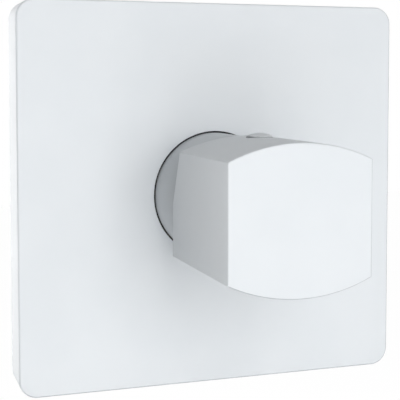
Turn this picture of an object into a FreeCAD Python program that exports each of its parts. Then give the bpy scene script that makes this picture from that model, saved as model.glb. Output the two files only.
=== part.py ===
import FreeCAD, Part
import math
import os

# Concealed single-lever shower mixer. Millimetres, +Z up, -Y towards the user.
# The origin lies where the lever's turning axis meets the finished wall.

V = FreeCAD.Vector
X_DIR = V(1, 0, 0)
Y_DIR = V(0, 1, 0)
Z_DIR = V(0, 0, 1)

# cover plate: a shallow tray with a hemmed rear flange
PLATE_WIDTH = 155.0
PLATE_HEIGHT = 150.0
PLATE_DEPTH = 19.0
PLATE_CORNER_R = 7.0
PLATE_EDGE_R = 0.8
PLATE_FRONT_WALL = 2.5
PLATE_SIDE_WALL = 2.2
PLATE_WALL_GAP = 0.3
PLATE_HOLE_R = 24.9
PLATE_COLLAR_R = 27.4
PLATE_COLLAR_RISE = 3.5
PLATE_RIB_T = 2.0
PLATE_RIB_RISE = 2.6
FLANGE_WIDTH = 7.8
FLANGE_T = 1.5

# gasket between plate and wall
GASKET_T = 2.0
GASKET_WIDTH = 6.3

# sleeve over the cartridge neck, and the dome cap in its mouth, centred on the lever's pivot
SLEEVE_R = 24.2
SLEEVE_WALL = 2.0
SLEEVE_TAIL = 10.0
SLEEVE_HANDLE_GAP = 0.6
SLEEVE_LIP = 0.7
DOME_R = 21.2
DOME_WALL = 1.2
DOME_OPENING_R = 12.6
DOME_FLANGE_R = 21.9
DOME_FLANGE_T = 1.0
SEAL_RECESS = 0.5
SEAL_LIP = 1.5
SEAL_FLANGE_R = 26.8

# lever motion
PIVOT_FROM_HANDLE_BACK = 3.0
LIFT_DEG = 22.0
TURN_DEG = 50.0

# handle: a hollow block with flat sides and arched top and bottom
HANDLE_HALF_WIDTH = 25.0
HANDLE_HALF_FLAT = 19.3
HANDLE_HALF_APEX = 25.0
HANDLE_BACK_FROM_PLATE = 25.5
HANDLE_FRONT_FROM_PLATE = 83.1
HANDLE_EDGE_R = 0.5
HANDLE_WALL = 2.6
HANDLE_FLAT_INSET = 2.1
HANDLE_FRONT_WALL = 3.2
HANDLE_RELIEF_DEG = 23.3
HANDLE_DOME_GAP = 0.5
BOSS_SIDE = 16.0
BOSS_WEB = 2.6
SQUARE_FIT = 0.1

# grub screw and the plug over it
SCREW_FROM_PLATE = 47.1
GRUB_R = 2.9
GRUB_LENGTH = 8.0
GRUB_FIT = 0.1
HEX_R = 1.7
HEX_DEPTH = 3.0
COLUMN_R = 7.2
PLUG_R = 4.3
PLUG_FIT = 0.5
PLUG_SEAT_DEPTH = 3.4
PLUG_PROUD = 1.4
PLUG_DOME = 1.0

# lever spindle
SPINDLE_SIDE = 8.0
SPINDLE_FRONT = 36.0
SPINDLE_CHAMFER = 0.8
HUB_R = 4.6
NECK_R = 1.6
BALL_R = 2.6
BALL_ARM = 10.0
PIN_R = 1.75
PIN_HALF_LENGTH = 9.6
PIN_PRESS_GAP = 0.04
PIN_RUN_GAP = 0.07

# ceramic cartridge
BALL_FLOOR_GAP = 0.35
SEAL_PROUD = 0.5
BASE_FLANGE_T = 1.5
BASE_PLUG_T = 4.0
FIXED_DISC_T = 4.0
MOVING_DISC_T = 4.0
FILM = 0.05
CARRIER_T = 4.6
ROTOR_FLANGE_T = 3.0
ROTOR_PAST_PIVOT = 5.0
HOUSING_R = 17.5
HOUSING_BORE_R = 16.0
HOUSING_COLLAR_R = 14.6
HOUSING_STEP_T = 2.0
HOUSING_FRONT_T = 2.6
SHOULDER_GAP = 0.3
AXIAL_PLAY = 0.3
BASE_FLANGE_R = 17.4
BASE_PLUG_R = 15.9
DISC_R = 15.6
MOVING_DISC_R = 13.6
CARRIER_R = 12.4
CARRIER_HALF_FLAT = 9.0
CARRIER_SLIDE_GAP = 0.2
ROTOR_R = 12.7
ROTOR_BORE_GAP = 0.3
ROTOR_NECK_R = 10.4
ROTOR_RUN_GAP = 0.08
RAIL_T = 3.2
RAIL_HALF_HEIGHT = 7.5
RAIL_DEPTH = 3.2
SLOT_GAP = 0.2
STOP_RIB_R = 11.6
STOP_HALF_DEG = 6.0
STOP_PLAY_DEG = 0.6
STOP_CLEAR = 0.3
DRIVE_PIN_R = 1.5
DRIVE_PIN_LENGTH = 1.5
DRIVE_PIN_X = 6.0
DRIVE_FIT = 0.1
SOCKET_GAP = 0.15

# water ways through seat, base and fixed disc, in X and Z
INLET_X = 7.0
INLET_Z = -5.5
INLET_R = 2.8
OUTLET_Z = 6.5
OUTLET_R = 3.8
POCKET_R = 5.4
POCKET_LOW_Z = -1.5
POCKET_HIGH_Z = 3.0
POCKET_DEPTH = 2.2
PORT_SEAL_T = 1.5
PORT_SEAL_WIDTH = 1.6
SEAL_FIT = 0.05
KEY_PIN_R = 1.5
KEY_PIN_X = 12.0
KEY_PIN_Z = 8.0
KEY_PIN_LENGTH = 2.0

# clamp nut
NUT_R = 18.5
NUT_BORE_R = 14.9
NUT_THREAD_LENGTH = 5.0
NUT_HEX_HALF_FLAT = 16.8
NUT_HEX_T = 3.0
NUT_FIT = 0.08

# valve body
NECK_OUTER_R = 21.3
NECK_BORE_FIT = 0.1
BARREL_R = 24.0
BARREL_FRONT_Y = 2.0
BARREL_BACK_Y = 52.0
PORT_Y = 36.0
PORT_REACH = 62.0
PORT_TUBE_R = 11.5
PORT_COLLAR_R = 14.5
PORT_COLLAR_LENGTH = 18.0
PORT_COLLAR_CHAMFER = 1.2
PORT_ROOT_R = 3.0
THREAD_R = 9.3
THREAD_LENGTH = 15.0
PORT_BORE_R = 7.0
PORT_BORE_END = 6.0
OUTLET_BORE_END = 9.0
FOOT_WIDTH = 84.0
FOOT_HEIGHT = 68.0
FOOT_T = 5.0
FOOT_CORNER_R = 9.0
FOOT_EDGE_R = 1.5
FOOT_HOLE_X = 33.0
FOOT_HOLE_Z = 25.0
FOOT_HOLE_R = 2.75
FOOT_RIB_T = 4.0
FOOT_RIB_RISE = 14.0
EAR_XZ = 24.0
EAR_R = 5.5
EAR_FRONT_Y = 4.0
EAR_LENGTH = 12.0
EAR_WEB_T = 6.0
EAR_HOLE_DEPTH = 10.0

# rings that hold and seal the sleeve on the neck
RING_FROM_PLATE = (-1.5, 10.0)
RING_WIDTH = 2.6
RING_GROOVE_WIDTH = 3.0
RING_GROOVE_R = 19.9

# plate carrier and its screws
CARRIER_SIDE = 92.0
CARRIER_CORNER_R = 12.0
CARRIER_FRONT_Y = -8.0
CARRIER_PLATE_T = 3.0
CARRIER_HOLE_R = 27.6
ARM_INSET = 8.0
ARM_WIDTH = 18.0
NOSE_DEPTH = 4.0
WINDOW_WIDTH = 26.0
WINDOW_RADIAL = 7.0
STANDOFF_R = 4.8
SCREW_SHANK_R = 2.0
SCREW_HOLE_GAP = 0.2
SCREW_THREAD_GAP = 0.03
SCREW_HEAD_R = 3.6
SCREW_HEAD_T = 2.4
SCREW_REACH = 8.0
SCREW_SOCKET_R = 1.6
SCREW_SOCKET_DEPTH = 1.4

# overlaps of joined shapes, reach of cutting shapes, and tolerances for picking edges
BARREL_OVERLAP = 1.0
REACH_PAST = 1.0
ALIGNED_DEG = 1.0
SAME = 1e-6
NEAR = 0.01

# stations along the axis that follow from the sizes above
PLATE_FRONT_Y = -PLATE_DEPTH
PLATE_INNER_Y = PLATE_FRONT_Y + PLATE_FRONT_WALL
COLLAR_BACK_Y = PLATE_INNER_Y + PLATE_COLLAR_RISE
HANDLE_BACK_Y = PLATE_FRONT_Y - HANDLE_BACK_FROM_PLATE
HANDLE_FRONT_Y = PLATE_FRONT_Y - HANDLE_FRONT_FROM_PLATE
PIVOT_Y = HANDLE_BACK_Y + PIVOT_FROM_HANDLE_BACK
SCREW_Y = PLATE_FRONT_Y - SCREW_FROM_PLATE
SLEEVE_FRONT_Y = HANDLE_BACK_Y + SLEEVE_HANDLE_GAP
SLEEVE_BORE_R = SLEEVE_R - SLEEVE_WALL
BALL_Y = PIVOT_Y + BALL_ARM
MOVING_FRONT_Y = BALL_Y + BALL_R + BALL_FLOOR_GAP
MOVING_BACK_Y = MOVING_FRONT_Y + MOVING_DISC_T
FIXED_FRONT_Y = MOVING_BACK_Y + FILM
BASE_FRONT_Y = FIXED_FRONT_Y + FIXED_DISC_T
BASE_STEP_Y = BASE_FRONT_Y + BASE_PLUG_T
BASE_BACK_Y = BASE_STEP_Y + BASE_FLANGE_T
SEAT_Y = BASE_BACK_Y + SEAL_PROUD
CARRIER_RIM_Y = MOVING_FRONT_Y - CARRIER_T
ROTOR_BACK_Y = CARRIER_RIM_Y - CARRIER_SLIDE_GAP
ROTOR_STEP_Y = ROTOR_BACK_Y - ROTOR_FLANGE_T
ROTOR_FRONT_Y = PIVOT_Y - ROTOR_PAST_PIVOT
HOUSING_STEP_Y = ROTOR_BACK_Y - SHOULDER_GAP
HOUSING_WALL_Y = ROTOR_STEP_Y - AXIAL_PLAY
HOUSING_FRONT_Y = HOUSING_WALL_Y - HOUSING_FRONT_T
NUT_SEAT_Y = HOUSING_STEP_Y - HOUSING_STEP_T
NUT_SHOULDER_Y = NUT_SEAT_Y - NUT_THREAD_LENGTH
NUT_FRONT_Y = NUT_SHOULDER_Y - NUT_HEX_T
DOME_STEP_Y = NUT_SHOULDER_Y - DOME_FLANGE_T
SLIDE_TRAVEL = BALL_ARM * math.sin(math.radians(LIFT_DEG))
DISC_REST_Z = SLIDE_TRAVEL / 2.0
GASKET_FRONT_Y = -GASKET_T
FLANGE_FRONT_Y = GASKET_FRONT_Y - FLANGE_T
CARRIER_BACK_Y = CARRIER_FRONT_Y + CARRIER_PLATE_T
TRAY_WIDTH = PLATE_WIDTH - 2 * PLATE_SIDE_WALL
TRAY_HEIGHT = PLATE_HEIGHT - 2 * PLATE_SIDE_WALL
TRAY_CORNER_R = PLATE_CORNER_R - PLATE_SIDE_WALL
RING_Y = [PLATE_FRONT_Y - offset for offset in RING_FROM_PLATE]


def along_y(radius, y_from, y_to, x=0.0, z=0.0):
    """Cylinder parallel to the turning axis."""
    return Part.makeCylinder(radius, y_to - y_from, V(x, y_from, z), Y_DIR)


def tube(outer_r, inner_r, y_from, y_to, x=0.0, z=0.0):
    """Straight tube parallel to the turning axis."""
    bore = along_y(inner_r, y_from - REACH_PAST, y_to + REACH_PAST, x, z)
    return along_y(outer_r, y_from, y_to, x, z).cut(bore)


def block(x_from, x_to, y_from, y_to, z_from, z_to):
    """Box between two corners."""
    return Part.makeBox(x_to - x_from, y_to - y_from, z_to - z_from, V(x_from, y_from, z_from))


def fused(shapes):
    """One solid from several that meet."""
    return shapes[0].fuse(shapes[1:]).removeSplitter()


def edges_along(shape, direction):
    """Straight edges of a shape that run along a direction."""
    found = []
    for edge in shape.Edges:
        if not isinstance(edge.Curve, Part.Line):
            continue
        angle = math.degrees(edge.tangentAt(edge.FirstParameter).getAngle(direction))
        if min(angle, 180 - angle) < ALIGNED_DEG:
            found.append(edge)
    return found


def rounded_block(width, height, corner_r, y_from, y_to):
    """Plate centred on the axis with rounded corners."""
    body = block(-width / 2, width / 2, y_from, y_to, -height / 2, height / 2)
    return body.makeFillet(corner_r, edges_along(body, Y_DIR))


def revolved(edges):
    """Solid of revolution about the turning axis from profile edges in the XY plane."""
    return Part.Face(Part.Wire(edges)).revolve(V(0, 0, 0), Y_DIR, 360)


def lines(points, closed=True):
    """Edges of a polyline."""
    ends = points[1:] + points[:1] if closed else points[1:]
    return [Part.makeLine(a, b) for a, b in zip(points, ends)]


def sector(inner_r, outer_r, half_deg, centre_deg, y_from, y_to):
    """Part of a ring about the axis, its middle at an angle from +X towards +Z."""
    angles = [math.radians(centre_deg + side * half_deg) for side in (-1, 0, 1)]
    inner = [V(inner_r * math.cos(a), y_from, inner_r * math.sin(a)) for a in angles]
    outer = [V(outer_r * math.cos(a), y_from, outer_r * math.sin(a)) for a in angles]
    wire = Part.Wire([
        Part.Arc(inner[0], inner[1], inner[2]).toShape(),
        Part.makeLine(inner[2], outer[2]),
        Part.Arc(outer[2], outer[1], outer[0]).toShape(),
        Part.makeLine(outer[0], inner[0]),
    ])
    return Part.Face(wire).extrude(V(0, y_to - y_from, 0))


def hexagon_y(half_flat, y_from, y_to):
    """Hexagonal prism on the turning axis."""
    corner = half_flat / math.cos(math.pi / 6)
    turns = [math.radians(60 * i) for i in range(6)]
    points = [V(corner * math.cos(t), y_from, corner * math.sin(t)) for t in turns]
    return Part.Face(Part.Wire(lines(points))).extrude(V(0, y_to - y_from, 0))


def barrel_prism(half_width, half_flat, half_apex, y_from, y_to):
    """Prism with flat left and right sides and arched top and bottom."""
    top = [V(-half_width, y_from, half_flat), V(0, y_from, half_apex), V(half_width, y_from, half_flat)]
    low = [V(p.x, p.y, -p.z) for p in reversed(top)]
    wire = Part.Wire([
        Part.Arc(*top).toShape(),
        Part.makeLine(top[2], low[0]),
        Part.Arc(*low).toShape(),
        Part.makeLine(low[2], top[0]),
    ])
    return Part.Face(wire).extrude(V(0, y_to - y_from, 0))


def side_prism(points_yz, half_width):
    """Prism across X from an outline in Y and Z."""
    points = [V(-half_width, y, z) for y, z in points_yz]
    return Part.Face(Part.Wire(lines(points))).extrude(V(2 * half_width, 0, 0))


def corners_of(x, z):
    """The four mirrored places of a point in X and Z."""
    return [(sx * x, sz * z) for sx in (-1, 1) for sz in (-1, 1)]


def make_cover_plate():
    """Tray with a hemmed flange, a collar round the sleeve's hole and stiffening ribs."""
    rim_y = -PLATE_WALL_GAP
    shell = rounded_block(PLATE_WIDTH, PLATE_HEIGHT, PLATE_CORNER_R, PLATE_FRONT_Y, rim_y)
    front_edges = [e for e in shell.Edges if abs(e.BoundBox.YMax - PLATE_FRONT_Y) < SAME]
    shell = shell.makeFillet(PLATE_EDGE_R, front_edges)
    hollow = rounded_block(TRAY_WIDTH, TRAY_HEIGHT, TRAY_CORNER_R, PLATE_INNER_Y, rim_y + REACH_PAST)
    flange = rounded_block(TRAY_WIDTH, TRAY_HEIGHT, TRAY_CORNER_R, FLANGE_FRONT_Y, GASKET_FRONT_Y)
    mouth = rounded_block(
        TRAY_WIDTH - 2 * FLANGE_WIDTH, TRAY_HEIGHT - 2 * FLANGE_WIDTH, TRAY_CORNER_R,
        FLANGE_FRONT_Y - REACH_PAST, GASKET_FRONT_Y + REACH_PAST,
    )
    collar = along_y(PLATE_COLLAR_R, PLATE_INNER_Y, COLLAR_BACK_Y)
    rib_end_y = PLATE_INNER_Y + PLATE_RIB_RISE
    half_rib = PLATE_RIB_T / 2
    rib_x = block(-TRAY_WIDTH / 2, TRAY_WIDTH / 2, PLATE_INNER_Y, rib_end_y, -half_rib, half_rib)
    rib_z = block(-half_rib, half_rib, PLATE_INNER_Y, rib_end_y, -TRAY_HEIGHT / 2, TRAY_HEIGHT / 2)
    hole = along_y(PLATE_HOLE_R, PLATE_FRONT_Y - REACH_PAST, COLLAR_BACK_Y + REACH_PAST)
    body = fused([shell.cut(hollow), flange.cut(mouth), collar, rib_x, rib_z])
    return body.cut(hole)


def make_plate_gasket():
    """Foam frame that lies inside the rim and bears on the wall."""
    frame = rounded_block(TRAY_WIDTH, TRAY_HEIGHT, TRAY_CORNER_R, GASKET_FRONT_Y, 0)
    inner = rounded_block(
        TRAY_WIDTH - 2 * GASKET_WIDTH, TRAY_HEIGHT - 2 * GASKET_WIDTH, TRAY_CORNER_R,
        GASKET_FRONT_Y - REACH_PAST, REACH_PAST,
    )
    return frame.cut(inner)


def make_plate_carrier():
    """Frame behind the plate with four sprung arms that hook in front of the plate's flange."""
    half = CARRIER_SIDE / 2
    plate = rounded_block(CARRIER_SIDE, CARRIER_SIDE, CARRIER_CORNER_R, CARRIER_FRONT_Y, CARRIER_BACK_Y)
    parts = [plate]
    cuts = [along_y(CARRIER_HOLE_R, CARRIER_FRONT_Y - REACH_PAST, CARRIER_BACK_Y + REACH_PAST)]
    for quarter in range(4):
        reach = (PLATE_HEIGHT if quarter % 2 == 0 else PLATE_WIDTH) / 2 - ARM_INSET
        arm = side_prism(
            [
                (CARRIER_FRONT_Y, half - REACH_PAST),
                (CARRIER_FRONT_Y, reach),
                (FLANGE_FRONT_Y, reach),
                (FLANGE_FRONT_Y, reach - NOSE_DEPTH),
                (CARRIER_BACK_Y, reach - NOSE_DEPTH),
                (CARRIER_BACK_Y, half - REACH_PAST),
            ],
            ARM_WIDTH / 2,
        )
        window_z = (CARRIER_HOLE_R + half) / 2
        window = block(
            -WINDOW_WIDTH / 2, WINDOW_WIDTH / 2,
            CARRIER_FRONT_Y - REACH_PAST, CARRIER_BACK_Y + REACH_PAST,
            window_z - WINDOW_RADIAL / 2, window_z + WINDOW_RADIAL / 2,
        )
        arm.rotate(V(0, 0, 0), Y_DIR, 90 * quarter)
        window.rotate(V(0, 0, 0), Y_DIR, 90 * quarter)
        parts.append(arm)
        cuts.append(window)
    for x, z in corners_of(EAR_XZ, EAR_XZ):
        parts.append(along_y(STANDOFF_R, CARRIER_FRONT_Y, EAR_FRONT_Y, x, z))
        hole_r = SCREW_SHANK_R + SCREW_HOLE_GAP
        cuts.append(along_y(hole_r, CARRIER_FRONT_Y - REACH_PAST, EAR_FRONT_Y + REACH_PAST, x, z))
    return fused(parts).cut(cuts)


def make_carrier_screws():
    """Four long screws with low round heads and hexagon sockets."""
    head_y = CARRIER_FRONT_Y - SCREW_HEAD_T
    shank = along_y(SCREW_SHANK_R, CARRIER_FRONT_Y, EAR_FRONT_Y + SCREW_REACH)
    screw = along_y(SCREW_HEAD_R, head_y, CARRIER_FRONT_Y).fuse(shank).removeSplitter()
    screw = screw.cut(hexagon_y(SCREW_SOCKET_R, head_y - REACH_PAST, head_y + SCREW_SOCKET_DEPTH))
    placed = []
    for x, z in corners_of(EAR_XZ, EAR_XZ):
        one = screw.copy()
        one.translate(V(x, 0, z))
        placed.append(one)
    return Part.makeCompound(placed)


def make_plate_seal():
    """Rubber ring that closes the slit between plate and sleeve."""
    front_y = PLATE_FRONT_Y + SEAL_RECESS
    lip = [
        V(SLEEVE_R, front_y, 0),
        V(PLATE_HOLE_R, front_y, 0),
        V(PLATE_HOLE_R, COLLAR_BACK_Y, 0),
        V(SEAL_FLANGE_R, COLLAR_BACK_Y, 0),
        V(SEAL_FLANGE_R, COLLAR_BACK_Y + SEAL_LIP, 0),
        V(SLEEVE_R, COLLAR_BACK_Y + SEAL_LIP, 0),
    ]
    return revolved(lines(lip))


def make_sleeve():
    """Thin tube with an inner step at its mouth that traps the dome cap."""
    back_y = PLATE_FRONT_Y + SLEEVE_TAIL
    mouth_r = SLEEVE_BORE_R - SLEEVE_LIP
    profile = [
        V(SLEEVE_BORE_R, back_y, 0),
        V(SLEEVE_R, back_y, 0),
        V(SLEEVE_R, SLEEVE_FRONT_Y, 0),
        V(mouth_r, SLEEVE_FRONT_Y, 0),
        V(mouth_r, DOME_STEP_Y, 0),
        V(SLEEVE_BORE_R, DOME_STEP_Y, 0),
    ]
    return revolved(lines(profile))


def dome_point(radius, angle_deg):
    """Point on a dome about the pivot, its angle measured from the rim towards the front."""
    angle = math.radians(angle_deg)
    return V(radius * math.cos(angle), PIVOT_Y - radius * math.sin(angle), 0)


def make_dome_cap():
    """Flanged dome that hides the cartridge and leaves a round opening for the lever."""
    inner_r = DOME_R - DOME_WALL
    start = math.degrees(math.asin((PIVOT_Y - DOME_STEP_Y) / DOME_R))
    outer_end = math.degrees(math.acos(DOME_OPENING_R / DOME_R))
    inner_end = math.degrees(math.acos(DOME_OPENING_R / inner_r))
    foot = dome_point(DOME_R, start)
    rim = dome_point(DOME_R, outer_end)
    lip = dome_point(inner_r, inner_end)
    spring = V(inner_r, PIVOT_Y, 0)
    flange = [
        V(inner_r, NUT_SHOULDER_Y, 0),
        V(DOME_FLANGE_R, NUT_SHOULDER_Y, 0),
        V(DOME_FLANGE_R, DOME_STEP_Y, 0),
    ]
    profile = lines([spring] + flange + [foot], closed=False)
    profile += [
        Part.Arc(foot, dome_point(DOME_R, (start + outer_end) / 2), rim).toShape(),
        Part.makeLine(rim, lip),
        Part.Arc(lip, dome_point(inner_r, inner_end / 2), spring).toShape(),
    ]
    return revolved(profile)


def make_sleeve_rings():
    """Two rubber rings in the neck's grooves that grip the sleeve."""
    return Part.makeCompound(
        [tube(SLEEVE_BORE_R, RING_GROOVE_R, y - RING_WIDTH / 2, y + RING_WIDTH / 2) for y in RING_Y]
    )


def water_ways(radius_extra, y_from, y_to):
    """The two inlet holes and the outlet hole through a cartridge layer."""
    return [
        along_y(INLET_R + radius_extra, y_from, y_to, -INLET_X, INLET_Z),
        along_y(INLET_R + radius_extra, y_from, y_to, INLET_X, INLET_Z),
        along_y(OUTLET_R + radius_extra, y_from, y_to, 0, OUTLET_Z),
    ]


def seal_group(y_from, y_to):
    """Three rubber rings, one round each water way."""
    rings = []
    for outer, hole in zip(
        water_ways(PORT_SEAL_WIDTH, y_from, y_to),
        water_ways(0, y_from - REACH_PAST, y_to + REACH_PAST),
    ):
        rings.append(outer.cut(hole))
    return Part.makeCompound(rings)


def port_branch(way):
    """Tube with a chamfered collar at its mouth, from the barrel's axis outwards."""
    centre = V(0, PORT_Y, 0)
    collar_start = PORT_REACH - PORT_COLLAR_LENGTH
    slope = PORT_COLLAR_R - PORT_TUBE_R
    edge = PORT_COLLAR_CHAMFER
    outline = [
        (0, 0), (PORT_TUBE_R, 0), (PORT_TUBE_R, collar_start - slope), (PORT_COLLAR_R, collar_start),
        (PORT_COLLAR_R, PORT_REACH - edge), (PORT_COLLAR_R - edge, PORT_REACH), (0, PORT_REACH),
    ]
    points = [centre + Y_DIR * radius + way * along for radius, along in outline]
    return Part.Face(Part.Wire(lines(points))).revolve(centre, way, 360)


def cast_barrel(ways):
    """Barrel with its port branches, rounded where they meet."""
    barrel = along_y(BARREL_R, BARREL_FRONT_Y, BARREL_BACK_Y + BARREL_OVERLAP)
    body = fused([barrel] + [port_branch(way) for way in ways])
    roots = []
    for edge in body.Edges:
        middle = edge.valueAt((edge.FirstParameter + edge.LastParameter) / 2)
        on_barrel = abs(math.hypot(middle.x, middle.z) - BARREL_R) < NEAR
        in_branch = edge.BoundBox.YLength < 2 * PORT_TUBE_R + NEAR
        if on_barrel and in_branch and abs(middle.y - PORT_Y) < PORT_TUBE_R + NEAR:
            roots.append(edge)
    return body.makeFillet(PORT_ROOT_R, roots)


def make_foot():
    """Rear foot plate with rounded corners and a soft front edge."""
    foot = rounded_block(FOOT_WIDTH, FOOT_HEIGHT, FOOT_CORNER_R, BARREL_BACK_Y, BARREL_BACK_Y + FOOT_T)
    front = [e for e in foot.Edges if e.BoundBox.YMax < BARREL_BACK_Y + SAME]
    return foot.makeFillet(FOOT_EDGE_R, front)


def make_valve_body():
    """Brass casting with two side inlets, an upper outlet, the cartridge neck, screw ears and a foot."""
    neck_front_y = NUT_SHOULDER_Y
    bore_ends = ((-X_DIR, PORT_BORE_END), (X_DIR, PORT_BORE_END), (Z_DIR, OUTLET_BORE_END))
    parts = [
        cast_barrel([way for way, bore_end in bore_ends]),
        along_y(NECK_OUTER_R, neck_front_y, BARREL_FRONT_Y + BARREL_OVERLAP),
        make_foot(),
    ]
    cuts = []
    for way, bore_end in bore_ends:
        centre = V(0, PORT_Y, 0)
        cuts.append(Part.makeCylinder(PORT_BORE_R, PORT_REACH - bore_end, centre + way * bore_end, way))
        cuts.append(
            Part.makeCylinder(
                THREAD_R, THREAD_LENGTH + REACH_PAST, centre + way * (PORT_REACH - THREAD_LENGTH), way
            )
        )
    foot_angle = math.degrees(math.atan2(FOOT_HOLE_Z, FOOT_HOLE_X))
    rib_half = math.hypot(FOOT_HOLE_X, FOOT_HOLE_Z) - 2 * FOOT_HOLE_R
    ear_reach = EAR_XZ * math.sqrt(2)
    for sign in (-1, 1):
        rib = block(
            -rib_half, rib_half, BARREL_BACK_Y - FOOT_RIB_RISE, BARREL_BACK_Y + BARREL_OVERLAP,
            -FOOT_RIB_T / 2, FOOT_RIB_T / 2,
        )
        rib.rotate(V(0, 0, 0), Y_DIR, sign * foot_angle)
        slope = side_prism(
            [
                (BARREL_BACK_Y - FOOT_RIB_RISE - REACH_PAST, rib_half + REACH_PAST),
                (BARREL_BACK_Y - FOOT_RIB_RISE - REACH_PAST, BARREL_R),
                (BARREL_BACK_Y - FOOT_RIB_RISE, BARREL_R),
                (BARREL_BACK_Y, rib_half),
                (BARREL_BACK_Y, rib_half + REACH_PAST),
            ],
            FOOT_RIB_T,
        )
        for end in (-1, 1):
            trim = slope.copy()
            trim.rotate(V(0, 0, 0), Y_DIR, end * 90 + sign * foot_angle)
            rib = rib.cut(trim)
        web = block(
            -ear_reach, ear_reach, EAR_FRONT_Y + REACH_PAST, EAR_FRONT_Y + EAR_LENGTH,
            -EAR_WEB_T / 2, EAR_WEB_T / 2,
        )
        web.rotate(V(0, 0, 0), Y_DIR, sign * 45)
        parts += [rib, web]
    for x, z in corners_of(EAR_XZ, EAR_XZ):
        parts.append(along_y(EAR_R, EAR_FRONT_Y, EAR_FRONT_Y + EAR_LENGTH, x, z))
        hole_r = SCREW_SHANK_R + SCREW_THREAD_GAP
        cuts.append(along_y(hole_r, EAR_FRONT_Y - REACH_PAST, EAR_FRONT_Y + EAR_HOLE_DEPTH, x, z))
    for x, z in corners_of(FOOT_HOLE_X, FOOT_HOLE_Z):
        foot_end = BARREL_BACK_Y + FOOT_T + REACH_PAST
        cuts.append(along_y(FOOT_HOLE_R, BARREL_BACK_Y - REACH_PAST, foot_end, x, z))
    cuts.append(along_y(HOUSING_R + NECK_BORE_FIT, neck_front_y - REACH_PAST, SEAT_Y))
    cuts.append(along_y(NUT_R + NUT_FIT, neck_front_y - REACH_PAST, NUT_SEAT_Y))
    cuts += water_ways(0, SEAT_Y - REACH_PAST, PORT_Y)
    for side in (-1, 1):
        key_r = KEY_PIN_R + DRIVE_FIT
        key_end = SEAT_Y + KEY_PIN_LENGTH
        cuts.append(along_y(key_r, SEAT_Y - REACH_PAST, key_end, side * KEY_PIN_X, KEY_PIN_Z))
    for y in RING_Y:
        half = RING_GROOVE_WIDTH / 2
        cuts.append(tube(NECK_OUTER_R + REACH_PAST, RING_GROOVE_R, y - half, y + half))
    return fused(parts).cut(cuts)


def make_clamp_nut():
    """Ring nut with a hexagon that presses the cartridge into the neck."""
    thread = along_y(NUT_R, NUT_SHOULDER_Y, NUT_SEAT_Y)
    head = hexagon_y(NUT_HEX_HALF_FLAT, NUT_FRONT_Y, NUT_SHOULDER_Y)
    bore = along_y(NUT_BORE_R, NUT_FRONT_Y - REACH_PAST, NUT_SEAT_Y + REACH_PAST)
    return thread.fuse(head).removeSplitter().cut(bore)


def make_cartridge_housing():
    """Stepped cup round the discs with a stop rib that limits the turn."""
    cup = fused([
        along_y(HOUSING_R, NUT_SEAT_Y, BASE_STEP_Y),
        along_y(HOUSING_COLLAR_R, HOUSING_FRONT_Y, NUT_SEAT_Y),
    ])
    collar_bore_r = ROTOR_R + ROTOR_BORE_GAP
    hollows = [
        along_y(HOUSING_BORE_R, HOUSING_STEP_Y, BASE_STEP_Y + REACH_PAST),
        along_y(collar_bore_r, HOUSING_WALL_Y, HOUSING_STEP_Y + REACH_PAST),
        along_y(ROTOR_NECK_R + ROTOR_RUN_GAP, HOUSING_FRONT_Y - REACH_PAST, HOUSING_WALL_Y + REACH_PAST),
    ]
    rib = sector(
        STOP_RIB_R, collar_bore_r + REACH_PAST, STOP_HALF_DEG, -90,
        HOUSING_WALL_Y - REACH_PAST, HOUSING_STEP_Y,
    )
    return cup.cut(hollows).fuse(rib.common(cup)).removeSplitter()


def make_cartridge_base():
    """Rear closure with three water ways, seal seats on both faces and two locating pins."""
    parts = [
        along_y(BASE_FLANGE_R, BASE_STEP_Y, BASE_BACK_Y),
        along_y(BASE_PLUG_R, BASE_FRONT_Y, BASE_STEP_Y),
    ]
    for side in (-1, 1):
        pin_end = BASE_BACK_Y + SEAL_PROUD + KEY_PIN_LENGTH - DRIVE_FIT
        parts.append(along_y(KEY_PIN_R, BASE_STEP_Y, pin_end, side * KEY_PIN_X, KEY_PIN_Z))
    cuts = water_ways(0, BASE_FRONT_Y - REACH_PAST, BASE_BACK_Y + REACH_PAST)
    seat_extra = PORT_SEAL_WIDTH + SEAL_FIT
    cuts += water_ways(seat_extra, SEAT_Y - PORT_SEAL_T, BASE_BACK_Y + REACH_PAST)
    cuts += water_ways(seat_extra, BASE_FRONT_Y - REACH_PAST, BASE_FRONT_Y + PORT_SEAL_T)
    return fused(parts).cut(cuts)


def make_fixed_disc():
    """Ceramic disc with two inlets and one outlet."""
    disc = along_y(DISC_R, FIXED_FRONT_Y, BASE_FRONT_Y)
    return disc.cut(water_ways(0, FIXED_FRONT_Y - REACH_PAST, BASE_FRONT_Y + REACH_PAST))


def drive_pins(radius, y_from, y_to):
    """Pins that lock carrier and moving disc together."""
    return [along_y(radius, y_from, y_to, side * DRIVE_PIN_X, DISC_REST_Z) for side in (-1, 1)]


def make_moving_disc():
    """Ceramic disc with a mixing pocket in its rear face."""
    disc = along_y(MOVING_DISC_R, MOVING_FRONT_Y, MOVING_BACK_Y, 0, DISC_REST_Z)
    floor_y = MOVING_BACK_Y - POCKET_DEPTH
    low = DISC_REST_Z + POCKET_LOW_Z
    high = DISC_REST_Z + POCKET_HIGH_Z
    pocket = fused([
        along_y(POCKET_R, floor_y, MOVING_BACK_Y + REACH_PAST, 0, low),
        along_y(POCKET_R, floor_y, MOVING_BACK_Y + REACH_PAST, 0, high),
        block(-POCKET_R, POCKET_R, floor_y, MOVING_BACK_Y + REACH_PAST, low, high),
    ])
    hole_end = MOVING_FRONT_Y + DRIVE_PIN_LENGTH
    holes = drive_pins(DRIVE_PIN_R + DRIVE_FIT, MOVING_FRONT_Y - REACH_PAST, hole_end)
    return disc.cut([pocket] + holes)


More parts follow.
